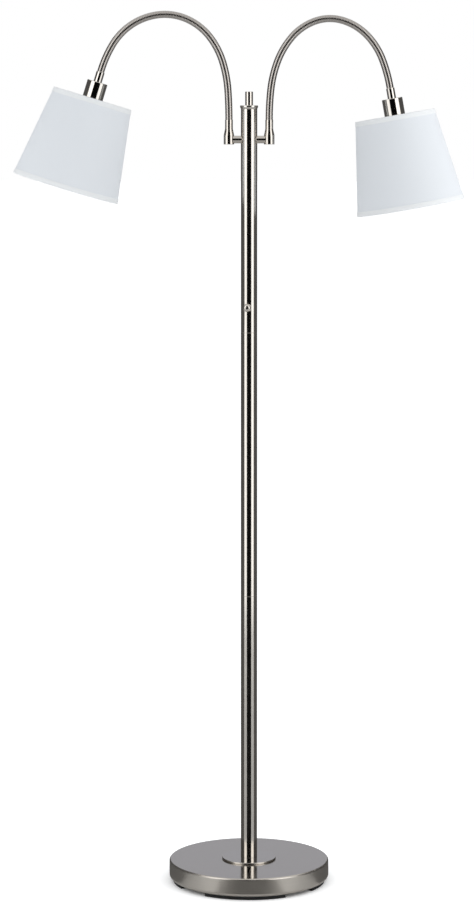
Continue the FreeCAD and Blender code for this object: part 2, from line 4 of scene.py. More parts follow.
import bpy
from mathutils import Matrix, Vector


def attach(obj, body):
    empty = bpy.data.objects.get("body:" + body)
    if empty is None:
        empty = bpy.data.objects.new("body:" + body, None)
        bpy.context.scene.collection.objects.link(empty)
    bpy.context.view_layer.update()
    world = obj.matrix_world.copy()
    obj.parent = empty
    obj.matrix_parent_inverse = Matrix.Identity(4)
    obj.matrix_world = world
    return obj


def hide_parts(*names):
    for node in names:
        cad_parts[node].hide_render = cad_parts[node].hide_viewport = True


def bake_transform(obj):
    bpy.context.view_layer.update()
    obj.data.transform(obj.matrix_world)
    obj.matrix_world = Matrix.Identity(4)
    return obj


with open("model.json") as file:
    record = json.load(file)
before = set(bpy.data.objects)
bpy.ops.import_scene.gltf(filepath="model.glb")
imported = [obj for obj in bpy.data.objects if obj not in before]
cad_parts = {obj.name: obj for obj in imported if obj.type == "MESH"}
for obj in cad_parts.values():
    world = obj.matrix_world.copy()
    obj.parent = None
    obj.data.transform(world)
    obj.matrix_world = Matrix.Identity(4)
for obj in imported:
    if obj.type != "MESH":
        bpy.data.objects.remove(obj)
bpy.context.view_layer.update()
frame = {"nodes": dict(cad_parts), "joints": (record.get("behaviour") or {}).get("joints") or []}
mm = 0.001
fullTurn = 2 * math.pi
joints = {joint["name"]: joint for joint in frame["joints"]}
sharpFold = 40                 # degrees; a fold sharper than this keeps its edge
noiseSpan = (0.3, 0.7)         # nearly all of a noise texture's values lie in here
print("stage: frame loaded,", len(frame["nodes"]), "nodes")


def toLinear(hexColour):
    channels = [int(hexColour[i:i + 2], 16) / 255 for i in (1, 3, 5)]
    return [c / 12.92 if c <= 0.04045 else ((c + 0.055) / 1.055) ** 2.4 for c in channels] + [1.0]


def addNode(tree, kind, values=None, links=None, **settings):
    node = tree.nodes.new(kind)
    for name, value in settings.items():
        setattr(node, name, value)
    for socket, value in (values or {}).items():
        node.inputs[socket].default_value = value
    for socket, source in (links or {}).items():
        tree.links.new(source, node.inputs[socket])
    return node


def newMaterial(name):
    material = bpy.data.materials.new(name)
    material.use_nodes = True
    material.node_tree.nodes.clear()
    return material, material.node_tree


def finishSurface(tree, values, links):
    surface = addNode(tree, "ShaderNodeBsdfPrincipled", values, links)
    addNode(tree, "ShaderNodeOutputMaterial", links={"Surface": surface.outputs[0]})


def newPiece(name, vertices, faces, uvs=None, material=None):
    mesh = bpy.data.meshes.new(name)
    mesh.from_pydata(vertices, [], faces)
    mesh.update()
    if uvs:
        layer = mesh.uv_layers.new(name="UVMap")
        for loop, uv in zip(layer.data, uvs):
            loop.uv = uv
    mesh.shade_smooth()
    mesh.set_sharp_from_angle(angle=math.radians(sharpFold))
    if material:
        mesh.materials.append(material)
    piece = bpy.data.objects.new(name, mesh)
    bpy.context.scene.collection.objects.link(piece)
    return piece


nickel = {
    "colour": "#CECAC4",       # nickel is a slightly warm, grey-white metal
    "worn": "#B9B3AB",         # lacquer in the brushed lines
    "brushLine": 0.45 * mm,    # width of the fine lines that the abrasive belt leaves
    "cloud": 30 * mm,          # slow change from more to less polished
    "roughness": (0.1, 0.15),
    "lineStrength": 0.08,
    "lineDepth": 0.01 * mm,
    "noiseSum": (0.6, 1.4),    # nearly all of the lines' and clouds' added values lie in here
    "wallToTop": (0.6, 0.95),  # upward part of the normal, where a wall ends and where a flat top starts
}


def brushedNickel(name, place=(0, 0, 0), tilt=0.0, stretch=0.0, colour=nickel["colour"],
                  roughness=nickel["roughness"], topGloss=1.0):
    # satin nickel plate on steel, brushed round the tube, then lacquered: crisp across, soft along;
    # stretch is how far a highlight is drawn out along the tube
    material, tree = newMaterial(name)
    where = addNode(tree, "ShaderNodeTexCoord")
    centred = addNode(tree, "ShaderNodeMapping", {"Location": place, "Rotation": (0, tilt, 0)},
                      {"Vector": where.outputs["Object"]}, vector_type="TEXTURE")
    spot = addNode(tree, "ShaderNodeSeparateXYZ", links={"Vector": centred.outputs[0]})
    across = addNode(tree, "ShaderNodeCombineXYZ", links={"X": spot.outputs["X"], "Y": spot.outputs["Y"]})
    radius = addNode(tree, "ShaderNodeVectorMath", links={0: across.outputs[0]}, operation="LENGTH")
    ringed = addNode(tree, "ShaderNodeCombineXYZ", links={"X": radius.outputs["Value"],
                                                          "Z": spot.outputs["Z"]})
    lines = addNode(tree, "ShaderNodeTexNoise", {"Scale": 1 / nickel["brushLine"], "Detail": 2.0},
                    {"Vector": ringed.outputs[0]})
    clouds = addNode(tree, "ShaderNodeTexNoise", {"Scale": 1 / nickel["cloud"], "Detail": 2.0},
                     {"Vector": centred.outputs[0]})
    mixed = addNode(tree, "ShaderNodeMath", links={0: lines.outputs[0], 1: clouds.outputs[0]},
                    operation="ADD")
    low, high = nickel["noiseSum"]
    rough = addNode(tree, "ShaderNodeMapRange", {"From Min": low, "From Max": high, "To Min": roughness[0],
                                                 "To Max": roughness[1]}, {"Value": mixed.outputs[0]})
    if topGloss != 1.0:    # flat tops are buffed more than the walls
        shape = addNode(tree, "ShaderNodeNewGeometry")
        facing = addNode(tree, "ShaderNodeSeparateXYZ", links={"Vector": shape.outputs["Normal"]})
        wall, top = nickel["wallToTop"]
        gloss = addNode(tree, "ShaderNodeMapRange", {"From Min": wall, "From Max": top, "To Min": 1.0,
                                                     "To Max": topGloss}, {"Value": facing.outputs["Z"]})
        rough = addNode(tree, "ShaderNodeMath", links={0: rough.outputs[0], 1: gloss.outputs[0]},
                        operation="MULTIPLY")
    tone = addNode(tree, "ShaderNodeMix", {"A": toLinear(colour), "B": toLinear(nickel["worn"])},
                   {"Factor": lines.outputs[0]}, data_type="RGBA")
    bump = addNode(tree, "ShaderNodeBump", {"Strength": nickel["lineStrength"],
                                            "Distance": nickel["lineDepth"]}, {"Height": lines.outputs[0]})
    values = {"Metallic": 1.0}
    links = {"Base Color": tone.outputs["Result"], "Roughness": rough.outputs[0], "Normal": bump.outputs[0]}
    if stretch:
        roundTube = addNode(tree, "ShaderNodeTangent", direction_type="RADIAL", axis="Z")
        values["Anisotropic"] = stretch
        values["Anisotropic Rotation"] = 0.25    # a quarter turn: lines run round, light spreads up and down
        links["Tangent"] = roundTube.outputs[0]
    finishSurface(tree, values, links)
    return material


strip = {
    # near black: painted shade in the grooves between the turns
    "groove": "#2A2725",
    "crest": "#ADA8A3",
    "smudge": 9 * mm,          # handling marks, about a fingertip wide
    "roughness": (0.14, 0.2),
}


def woundNickel():
    # satin plated strip, wound and locked turn on turn; the grooves are coloured near black by the rib's
    # rise: painted shade in the recesses between the turns
    material, tree = newMaterial("woundNickelStrip")
    where = addNode(tree, "ShaderNodeTexCoord")
    rise = addNode(tree, "ShaderNodeAttribute", attribute_name="ribRise")
    smudge = addNode(tree, "ShaderNodeTexNoise", {"Scale": 1 / strip["smudge"], "Detail": 3.0},
                     {"Vector": where.outputs["Object"]})
    # painted shade: the lower the rib, the darker the metal's colour
    tone = addNode(tree, "ShaderNodeMix", {"A": toLinear(strip["groove"]), "B": toLinear(strip["crest"])},
                   {"Factor": rise.outputs["Fac"]}, data_type="RGBA")
    rough = addNode(tree, "ShaderNodeMapRange",
                    {"From Min": noiseSpan[0], "From Max": noiseSpan[1], "To Min": strip["roughness"][0],
                     "To Max": strip["roughness"][1]}, {"Value": smudge.outputs[0]})
    finishSurface(tree, {"Metallic": 1.0},
                  {"Base Color": tone.outputs["Result"], "Roughness": rough.outputs[0]})
    return material


def mouldedOrCast(name, dark, light, grain, roughness, metallic=0.0, bumpHeight=0.02 * mm, extra=None):
    # one even stuff with a fine grain: rubber, phenolic, cement, paint, brass, zinc or aluminium
    material, tree = newMaterial(name)
    where = addNode(tree, "ShaderNodeTexCoord")
    speck = addNode(tree, "ShaderNodeTexNoise", {"Scale": 1 / grain, "Detail": 3.0},
                    {"Vector": where.outputs["Object"]})
    tone = addNode(tree, "ShaderNodeMix", {"A": toLinear(dark), "B": toLinear(light)},
                   {"Factor": speck.outputs[0]}, data_type="RGBA")
    rough = addNode(tree, "ShaderNodeMapRange",
                    {"From Min": noiseSpan[0], "From Max": noiseSpan[1], "To Min": roughness[0],
                     "To Max": roughness[1]}, {"Value": speck.outputs[0]})
    bump = addNode(tree, "ShaderNodeBump", {"Strength": 0.4, "Distance": bumpHeight},
                   {"Height": speck.outputs[0]})
    values = {"Metallic": metallic}
    values.update(extra or {})
    finishSurface(tree, values, {"Base Color": tone.outputs["Result"], "Roughness": rough.outputs[0],
                                 "Normal": bump.outputs[0]})
    return material


yarn = {
    "slub": 14 * mm,           # length over which the yarn swells and thins
    "drift": 1.5,              # threads, how far a slub pushes its neighbours aside
    "bandRun": fullTurn / 20,  # metres from band to band of a wave texture at a scale of 1
}


def wovenCloth(name, warpColour, weftColour, thread, depth):
    # plain-weave polyester linen bonded to a stiff backing: matt, threads just under a millimetre apart,
    # uneven in width as slubbed yarn is; the map is in metres along and up the cloth
    material, tree = newMaterial(name)
    where = addNode(tree, "ShaderNodeTexCoord")
    slub = addNode(tree, "ShaderNodeTexNoise", {"Scale": 1 / yarn["slub"], "Detail": 2.0},
                   {"Vector": where.outputs["UV"]})
    push = (thread * yarn["drift"],) * 3
    loose = addNode(tree, "ShaderNodeVectorMath", {1: push}, {0: slub.outputs["Color"]}, operation="MULTIPLY")
    uneven = addNode(tree, "ShaderNodeVectorMath", links={0: where.outputs["UV"], 1: loose.outputs[0]},
                     operation="ADD")
    waves = []
    for direction in ("X", "Y"):
        bands = addNode(tree, "ShaderNodeTexWave", {"Scale": yarn["bandRun"] / thread, "Distortion": 0.0},
                        {"Vector": uneven.outputs[0]}, bands_direction=direction)
        waves.append(bands.outputs["Fac"])
    weave = addNode(tree, "ShaderNodeMath", links={0: waves[0], 1: waves[1]}, operation="MULTIPLY")
    tone = addNode(tree, "ShaderNodeMix", {"A": toLinear(weftColour), "B": toLinear(warpColour)},
                   {"Factor": weave.outputs[0]}, data_type="RGBA")
    bump = addNode(tree, "ShaderNodeBump", {"Strength": 0.5, "Distance": depth}, {"Height": weave.outputs[0]})
    finishSurface(tree, {"Roughness": 0.92, "Sheen Weight": 0.12, "Sheen Roughness": 0.5},
                  {"Base Color": tone.outputs["Result"], "Normal": bump.outputs[0]})
    return material


def neckJointNames(side):
    # one neck's joints, as the frame lists them: from the pole to the head, bending and swinging in turn
    return [name for name in joints if name.startswith(side + "_neck_")]


def neckPlan(side):
    # the way that the neck heads at each joint, from the joints' places: each length is an arc, so its
    # chord points halfway between the headings at its ends
    places = [Vector(joints[name]["pos_m"]) for name in neckJointNames(side)]
    headings = [math.pi / 2]
    for start, end in zip(places, places[1:]):
        chord = math.atan2(end.z - start.z, end.x - start.x)
        turn = (2 * (chord - headings[-1]) + math.pi) % fullTurn - math.pi
        headings.append(headings[-1] + turn)
    return places, headings


neckPlans = {side: neckPlan(side) for side in ("left", "right")}

poleNickel = brushedNickel("brushedNickelTube", stretch=0.5)
baseNickel = brushedNickel("brushedNickelBase", stretch=0.4, colour="#C1BCB4", roughness=(0.3, 0.38),
                           topGloss=0.4)
discNickel = brushedNickel("brushedNickelDisc", stretch=0.3, colour="#C4C0BA", roughness=(0.3, 0.38),
                           topGloss=0.4)
smallNickel = brushedNickel("brushedNickelFittings", colour="#BDB8B1", roughness=(0.09, 0.14))
knobNickel = brushedNickel("brushedNickelKnob", roughness=(0.16, 0.24))
headNickel = {}
for side in ("left", "right"):
    places, headings = neckPlans[side]
    headNickel[side] = brushedNickel("brushedNickelHead_" + side, tuple(places[-1]),
                                     math.pi / 2 - headings[-1], roughness=(0.07, 0.12))
woundStrip = woundNickel()
# moulded rubber: nearly black and dull
blackRubber = mouldedOrCast("blackRubber", "#0C0C0D", "#1B1B1C", 1.2 * mm, (0.65, 0.85))
# cement poured into the cover: chalky, grey and gritty
castFiller = mouldedOrCast("castCementFiller", "#8A857C", "#A8A39A", 2.5 * mm, (0.8, 0.95),
                           bumpHeight=0.3 * mm)
# turned or stamped steel with a zinc plate: cool grey, half bright
zincPlate = mouldedOrCast("zincPlatedSteel", "#A9ADB0", "#C6C9CB", 4 * mm, (0.25, 0.4), 1.0)
# pressed phenolic: hard, with a low sheen
blackPhenolic = mouldedOrCast("blackPhenolic", "#141313", "#232120", 1.5 * mm, (0.35, 0.5))
whitePhenolic = mouldedOrCast("whitePhenolic", "#DAD7CF", "#E6E3DC", 1.5 * mm, (0.3, 0.42))
# stamped contact brass: yellow and half bright
brass = mouldedOrCast("pressedBrass", "#C9A35A", "#DDBB74", 3 * mm, (0.2, 0.32), 1.0)
# thin rolled aluminium of a bulb's cap: pale grey, half bright
aluminium = mouldedOrCast("rolledAluminium", "#BFC1C3", "#D6D8D9", 2 * mm, (0.25, 0.38), 1.0)
# white paint baked on wire: even, with a low sheen
wirePaint = mouldedOrCast("whitePaintedWire", "#E2E1DC", "#EDECE8", 1 * mm, (0.35, 0.5))
# soft extruded plastic round the wires: cream, with a low sheen
wirePlastic = mouldedOrCast("wireInsulation", "#CFCBBF", "#DEDACF", 2 * mm, (0.4, 0.5))
# white powder inside clear glass: milky under a sharp gloss
pearlGlass = mouldedOrCast("pearlCoatedGlass", "#F1F0EC", "#F8F7F4", 6 * mm, (0.16, 0.24),
                           extra={"Coat Weight": 0.6, "Coat Roughness": 0.05})
whiteCloth = wovenCloth("whiteLinenCloth", "#F2F4F7", "#E4E8EC", 0.8 * mm, 0.05 * mm)
whiteTape = wovenCloth("whiteTrimTape", "#F7F8F8", "#EEF0F1", 0.6 * mm, 0.04 * mm)
print("stage: materials made")

nodeFinish = {
    "base_cover": baseNickel, "base_weight": castFiller, "base_pad": blackRubber,
    "base_foot_disc": discNickel, "base_nipple": zincPlate, "base_washer": zincPlate,
    "base_nut": zincPlate, "cord_bushing": blackRubber, "pole_lower": poleNickel,
    "pole_middle": poleNickel, "pole_upper": poleNickel, "pole_foot_insert": zincPlate,
    "pole_sockets": zincPlate, "pole_studs": zincPlate, "pole_hub": zincPlate, "pole_cap": poleNickel,
    "finial": poleNickel, "pole_wires": wirePlastic, "arm_stubs": smallNickel,
    "neck_elbows": smallNickel, "switch_body": blackPhenolic, "switch_ring_nut": smallNickel,
    "switch_shaft": zincPlate, "switch_knob": knobNickel,
}
headFinish = {
    "lampholder": whitePhenolic, "lampholder_contacts": brass, "bulb_cap": aluminium,
    "bulb_glass": pearlGlass, "shade_ring_nut": whitePhenolic, "shade_frame": wirePaint,
    "shade_fabric": whiteCloth, "shade_trims": whiteTape,
}
for side in ("left", "right"):
    nodeFinish[side + "_ferrule"] = headNickel[side]
    nodeFinish[side + "_socket_cup"] = headNickel[side]
    for part, finish in headFinish.items():
        nodeFinish[side + "_" + part] = finish
for name, node in frame["nodes"].items():
    node.data.materials.clear()
    node.data.materials.append(woundStrip if "_neck_length_" in name else nodeFinish[name])
print("stage: finishes given to the CAD pieces")


# Goosenecks: one wound tube per neck, cut midway between the joints
neck = {
    "crestRadius": 6.35 * mm,
    "grooveRadius": 5.75 * mm,
    "turnsPerSpan": 18,        # turns of the strip between two joints
    "ringsPerTurn": 8,
    "sides": 32,
    "pathSteps": 14,           # points of the path on each span
    "seat": 1.25 * mm,         # from the end joints to the fittings that the tube goes into
    "bendRun": 18 * mm,        # the bend at a joint is spread this far each way
    "crestPower": 0.2,         # the smaller, the flatter the crest and the narrower the groove
    "sharpFold": 75,           # degrees; folds of the ribs up to this stay soft
}


def woundTubeTree():
    tree = bpy.data.node_groups.new("woundTube", "GeometryNodeTree")
    tree.interface.new_socket("Geometry", in_out="INPUT", socket_type="NodeSocketGeometry")
    for name in ("From", "To", "Pitch", "Crest Radius", "Groove Radius", "Crest Power", "Step"):
        tree.interface.new_socket(name, in_out="INPUT", socket_type="NodeSocketFloat")
    tree.interface.new_socket("Sides", in_out="INPUT", socket_type="NodeSocketInt")
    tree.interface.new_socket("Material", in_out="INPUT", socket_type="NodeSocketMaterial")
    tree.interface.new_socket("Geometry", in_out="OUTPUT", socket_type="NodeSocketGeometry")
    given = addNode(tree, "NodeGroupInput").outputs

    fine = addNode(tree, "GeometryNodeResampleCurve",
                   links={"Curve": given["Geometry"], "Length": given["Step"]}, mode="LENGTH")
    along = addNode(tree, "GeometryNodeSplineParameter")
    measured = addNode(tree, "GeometryNodeStoreNamedAttribute", {"Name": "alongNeck"},
                       {"Geometry": fine.outputs[0], "Value": along.outputs["Length"]}, data_type="FLOAT")
    cut = addNode(tree, "GeometryNodeTrimCurve", links={"Curve": measured.outputs[0]}, mode="LENGTH")
    tree.links.new(given["From"], cut.inputs[4])    # by number: the node has two inputs named Start
    tree.links.new(given["To"], cut.inputs[5])      # and two named End
    upright = addNode(tree, "GeometryNodeSetCurveNormal", {"Normal": (0, 1, 0)}, {"Curve": cut.outputs[0]},
                      mode="FREE")
    here = addNode(tree, "GeometryNodeInputPosition")
    centred = addNode(tree, "GeometryNodeStoreNamedAttribute", {"Name": "neckCentre"},
                      {"Geometry": upright.outputs[0], "Value": here.outputs[0]}, data_type="FLOAT_VECTOR")

    circle = addNode(tree, "GeometryNodeCurvePrimitiveCircle",
                     links={"Resolution": given["Sides"], "Radius": given["Groove Radius"]})
    index = addNode(tree, "GeometryNodeInputIndex")
    share = addNode(tree, "ShaderNodeMath", links={0: index.outputs[0], 1: given["Sides"]},
                    operation="DIVIDE")
    marked = addNode(tree, "GeometryNodeStoreNamedAttribute", {"Name": "roundNeck"},
                     {"Geometry": circle.outputs[0], "Value": share.outputs[0]}, data_type="FLOAT")
    tube = addNode(tree, "GeometryNodeCurveToMesh", {"Fill Caps": True},
                   {"Curve": centred.outputs[0], "Profile Curve": marked.outputs[0]})

    alongNeck = addNode(tree, "GeometryNodeInputNamedAttribute", {"Name": "alongNeck"}, data_type="FLOAT")
    roundNeck = addNode(tree, "GeometryNodeInputNamedAttribute", {"Name": "roundNeck"}, data_type="FLOAT")
    centre = addNode(tree, "GeometryNodeInputNamedAttribute", {"Name": "neckCentre"},
                     data_type="FLOAT_VECTOR")
    turns = addNode(tree, "ShaderNodeMath", links={0: alongNeck.outputs[0], 1: given["Pitch"]},
                    operation="DIVIDE")
    helix = addNode(tree, "ShaderNodeMath", links={0: turns.outputs[0], 1: roundNeck.outputs[0]},
                    operation="SUBTRACT")
    halfTurns = addNode(tree, "ShaderNodeMath", {1: math.pi}, {0: helix.outputs[0]}, operation="MULTIPLY")
    wave = addNode(tree, "ShaderNodeMath", links={0: halfTurns.outputs[0]}, operation="SINE")
    hump = addNode(tree, "ShaderNodeMath", links={0: wave.outputs[0]}, operation="ABSOLUTE")
    rise = addNode(tree, "ShaderNodeMath", links={0: hump.outputs[0], 1: given["Crest Power"]},
                   operation="POWER")
    height = addNode(tree, "ShaderNodeMath", links={0: given["Crest Radius"], 1: given["Groove Radius"]},
                     operation="SUBTRACT")
    lift = addNode(tree, "ShaderNodeMath", links={0: rise.outputs[0], 1: height.outputs[0]},
                   operation="MULTIPLY")
    outward = addNode(tree, "ShaderNodeVectorMath", links={0: here.outputs[0], 1: centre.outputs[0]},
                      operation="SUBTRACT")
    unit = addNode(tree, "ShaderNodeVectorMath", links={0: outward.outputs[0]}, operation="NORMALIZE")
    offset = addNode(tree, "ShaderNodeVectorMath", links={0: unit.outputs[0], "Scale": lift.outputs[0]},
                     operation="SCALE")
    coloured = addNode(tree, "GeometryNodeStoreNamedAttribute", {"Name": "ribRise"},
                       {"Geometry": tube.outputs[0], "Value": rise.outputs[0]}, data_type="FLOAT")
    wound = addNode(tree, "GeometryNodeSetPosition", links={"Geometry": coloured.outputs[0],
                                                            "Offset": offset.outputs[0]})
    whole = addNode(tree, "GeometryNodeRealizeInstances", links={"Geometry": wound.outputs[0]})
    done = addNode(tree, "GeometryNodeSetMaterial", links={"Geometry": whole.outputs[0],
                                                           "Material": given["Material"]})
    addNode(tree, "NodeGroupOutput", links={"Geometry": done.outputs[0]})
    return tree


def neckPath(side):
    places, headings = neckPlans[side]
    first = places[0] - Vector((0, 0, neck["seat"]))
    points = [first]
    for i, (start, end) in enumerate(zip(places, places[1:])):
        turn = headings[i + 1] - headings[i]
        chord = (end - start).length
        arcRadius = chord / 2 / math.sin(turn / 2)
        normal = Vector((-math.sin(headings[i]), 0, math.cos(headings[i])))
        middle = start + normal * arcRadius
        for k in range(neck["pathSteps"]):
            angle = turn * k / neck["pathSteps"]
            radial = start - middle
            points.append(middle + Vector((radial.x * math.cos(angle) - radial.z * math.sin(angle), 0,
                                           radial.x * math.sin(angle) + radial.z * math.cos(angle))))
    points.append(places[-1])
    last = Vector((math.cos(headings[-1]), 0, math.sin(headings[-1])))
    points.append(places[-1] + last * neck["seat"])
    return points


def setInputs(modifier, values):
    sockets = {item.name: item.identifier for item in modifier.node_group.interface.items_tree
               if item.in_out == "INPUT"}
    for name, value in values.items():
        modifier[sockets[name]] = value


def neckPieces(side, tree):
    points = neckPath(side)
    curve = bpy.data.curves.new(side + "NeckPath", "CURVE")
    curve.dimensions = "3D"
    spline = curve.splines.new("POLY")
    spline.points.add(len(points) - 1)
    for point, place in zip(spline.points, points):
        point.co = (*place, 1)
    path = bpy.data.objects.new(side + "NeckPath", curve)
    bpy.context.scene.collection.objects.link(path)
    modifier = path.modifiers.new("woundTube", "NODES")
    modifier.node_group = tree

    reached = [0.0]
    for a, b in zip(points, points[1:]):
        reached.append(reached[-1] + (b - a).length)
    span = reached[1 + neck["pathSteps"]] - reached[1]
    pitch = span / neck["turnsPerSpan"]
    names = neckJointNames(side)
    for i, name in enumerate(names):
        low = 0.0 if i == 0 else reached[1] + span * (i - 0.5)
        high = reached[-1] if i == len(names) - 1 else reached[1] + span * (i + 0.5)
        setInputs(modifier, {"From": low, "To": high, "Pitch": pitch, "Crest Radius": neck["crestRadius"],
                             "Groove Radius": neck["grooveRadius"], "Crest Power": neck["crestPower"],
                             "Step": pitch / neck["ringsPerTurn"], "Sides": neck["sides"],
                             "Material": woundStrip})
        path.update_tag()
        bpy.context.view_layer.update()
        seen = path.evaluated_get(bpy.context.evaluated_depsgraph_get())
        mesh = bpy.data.meshes.new_from_object(seen)
        mesh.shade_smooth()
        mesh.set_sharp_from_angle(angle=math.radians(neck["sharpFold"]))
        piece = bpy.data.objects.new(side + "_neck_skin_" + str(i + 1), mesh)
        bpy.context.scene.collection.objects.link(piece)
        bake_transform(piece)
        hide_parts(side + "_neck_length_" + str(min(max(i, 1), len(names) - 1)))
    bpy.data.objects.remove(path)


tubeTree = woundTubeTree()
for side in ("left", "right"):
    neckPieces(side, tubeTree)
print("stage: goosenecks wound")


# Shades: cloth bonded to a stiff backing, round two wire rings, with a folded tape on each rim
shade = {
    "topDepth": 49.97 * mm,    # from the last joint down to the top rim, along the head
    "height": 162 * mm,
    "topRadius": 69.6 * mm,
    "bottomRadius": 94.2 * mm,
    "sheet": 0.9 * mm,
    "sides": 128,
    "rows": 10,
}
tape = {
    "width": 8 * mm,
    "turnIn": 5 * mm,          # how far it goes down the inside
    "sheet": 0.6 * mm,
    "gap": 0.05 * mm,
    "pucker": 0.12 * mm,       # slight unevenness of a tape that is folded by hand
    "puckers": 23,
    "swells": 5,               # the puckers grow and fade this many times round the rim
    "swellStart": 1.0,         # radians, where they do so
    "fold": 0.5 * mm,          # radius of the soft fold over the rim
    "foldIn": 0.3,             # shares of that radius by which the fold's middle corner is drawn in
    "foldDown": 0.4,
    "cutEdge": 0.8,            # share of the tape's standing height that its cut edge keeps
    "cutSlope": 0.5 * mm,      # the cut edge rises to full height over this width
    "foldStart": 0.4 * mm,     # from the rim to where the outside starts to fold
}


def headAxes(side):
    places, headings = neckPlans[side]
    down = Vector((math.cos(headings[-1]), 0, math.sin(headings[-1])))
    across = Vector((-down.z, 0, down.x))
    return places[-1], down, across


def turnedOnHead(name, side, profile, material, pucker=0.0, puckers=0):
    # a closed profile of (radius, depth) corners, turned round the head's axis; its map is in metres
    origin, down, across = headAxes(side)
    back = Vector((0, 1, 0))
    sides = shade["sides"]
    vertices, faces, uvs = [], [], []
    lengths = [0.0]
    for (r1, d1), (r2, d2) in zip(profile, profile[1:] + profile[:1]):
        lengths.append(lengths[-1] + math.hypot(r2 - r1, d2 - d1))
    meanRadius = sum(r for r, d in profile) / len(profile)
    for i in range(sides):
        angle = fullTurn * i / sides
        outward = back * math.cos(angle) + across * math.sin(angle)
        swell = math.cos(angle * tape["swells"] + tape["swellStart"])
        uneven = pucker * math.sin(angle * puckers) * swell
        for radius, depth in profile:
            vertices.append(origin + down * depth + outward * (radius + uneven))
    count = len(profile)
    for i in range(sides):
        for k in range(count):
            a = i * count + k
            b = i * count + (k + 1) % count
            c = (i + 1) % sides * count + (k + 1) % count
            d = (i + 1) % sides * count + k
            faces.append((a, d, c, b))
            u1, u2 = i / sides * fullTurn * meanRadius, (i + 1) / sides * fullTurn * meanRadius
            uvs += [(u1, lengths[k]), (u2, lengths[k]), (u2, lengths[k + 1]), (u1, lengths[k + 1])]
    return newPiece(name, vertices, faces, uvs, material)


def outerRadius(depth):
    share = (depth - shade["topDepth"]) / shade["height"]
    return shade["topRadius"] + (shade["bottomRadius"] - shade["topRadius"]) * share


def shadeCloth(side):
    rows = shade["rows"]
    depths = [shade["topDepth"] + shade["height"] * i / rows for i in range(rows + 1)]
    outside = [(outerRadius(depth), depth) for depth in depths]
    inside = [(outerRadius(depth) - shade["sheet"], depth) for depth in reversed(depths)]
    return turnedOnHead(side + "_shade_cloth", side, outside + inside, whiteCloth)


def shadeTape(side, rim, way, name):
    # the tape's section: up the outside, over the rim and down the inside, with a soft fold
    far = rim + way * tape["width"]
    near = rim + way * tape["turnIn"]
    over = rim - way * tape["sheet"]
    outer = tape["gap"] + tape["sheet"]
    fold = tape["fold"]
    inner = -shade["sheet"] - tape["gap"]
    section = [
        (outerRadius(far) + tape["gap"], far),
        (outerRadius(far) + outer * tape["cutEdge"], far),
        (outerRadius(far) + outer, far - way * tape["cutSlope"]),
        (outerRadius(rim) + outer, rim + way * tape["foldStart"]),
        (outerRadius(rim) + outer - fold * tape["foldIn"], over + way * fold * tape["foldDown"]),
        (outerRadius(rim) + outer - fold, over),
        (outerRadius(rim) + inner - tape["sheet"] + fold, over),
        (outerRadius(rim) + inner - tape["sheet"], over + way * fold),
        (outerRadius(near) + inner - tape["sheet"], near),
        (outerRadius(near) + inner, near),
        (outerRadius(rim) + inner, rim),
        (outerRadius(rim) + tape["gap"], rim),
    ]
    if way < 0:
        section.reverse()
    return turnedOnHead(name, side, section, whiteTape, tape["pucker"], tape["puckers"])


for side in ("left", "right"):
    cloth = shadeCloth(side)
    tapes = [shadeTape(side, shade["topDepth"], 1, side + "_shade_top_tape"),
             shadeTape(side, shade["topDepth"] + shade["height"], -1, side + "_shade_bottom_tape")]
    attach(cloth, side + "_head")
    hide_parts(side + "_shade_fabric")
    for piece in tapes:
        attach(piece, side + "_head")
        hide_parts(side + "_shade_trims")
print("stage: shades made")


# The studio: a pale floor, two tall softboxes at the front, a light beside each shade, and dark cards
# that only reflections see
studio = {
    "floorSize": 160.0,
    "softboxDistance": 2.3,
    "softboxWidth": 1.4,
    "softboxHeight": 2.7,
    "softboxMiddle": 1.4,
    "sideLightDistance": 1.5,
    "sideLightHeight": 1.3,
    "sideLightSize": 0.8,
    "cardRadius": 2.6,
    "cardLow": 0.001,
    "footRadius": 0.15,
    "shallow": 0.3,            # rise of a ray that still sees the card's own tone
    "steep": 0.5,              # rise from which it sees the painted reflection of the pale floor instead
    # painted reflection of the pale floor, which steep rays see on the cards
    "floorReflectionTone": (0.62, 0.62, 0.62, 1),
    "cardHigh": 3.0,
    "cardSteps": 24,
    "floorColour": "#EFEFEF",
    "floorGlow": 0.7,          # only the camera sees it: it lifts the open floor to white
    "contactReach": 0.12,      # the glow fades within this distance of the lamp: painted shade on the floor round and under the base
    "fillColour": "#EEF1F4",
    "fillStrength": 0.58,
}


def around(angle, distance, height):
    # a place round the lamp; angle 0 is at the front, where the camera is, and 90 on the right
    turn = math.radians(angle)
    return Vector((math.sin(turn) * distance, -math.cos(turn) * distance, height))


def softbox(name, angle, brightness):
    light = bpy.data.lights.new(name, "AREA")
    light.shape = "RECTANGLE"
    light.size = studio["softboxWidth"]
    light.size_y = studio["softboxHeight"]
    light.energy = brightness * math.pi * light.size * light.size_y
    holder = bpy.data.objects.new(name, light)
    holder.location = around(angle, studio["softboxDistance"], studio["softboxMiddle"])
    aim = Vector((0, 0, studio["softboxMiddle"])) - holder.location
    holder.rotation_euler = aim.to_track_quat("-Z", "Y").to_euler()
    holder.visible_camera = False
    bpy.context.scene.collection.objects.link(holder)


def sideLight(name, angle, watts):
    # lights the outer side of one shade; reflections don't see it
    light = bpy.data.lights.new(name, "AREA")
    light.shape = "DISK"
    light.size = studio["sideLightSize"]
    light.energy = watts
    holder = bpy.data.objects.new(name, light)
    holder.location = around(angle, studio["sideLightDistance"], studio["sideLightHeight"])
    aim = Vector((0, 0, studio["sideLightHeight"])) - holder.location
    holder.rotation_euler = aim.to_track_quat("-Z", "Y").to_euler()
    holder.visible_camera = False
    holder.visible_glossy = False
    bpy.context.scene.collection.objects.link(holder)


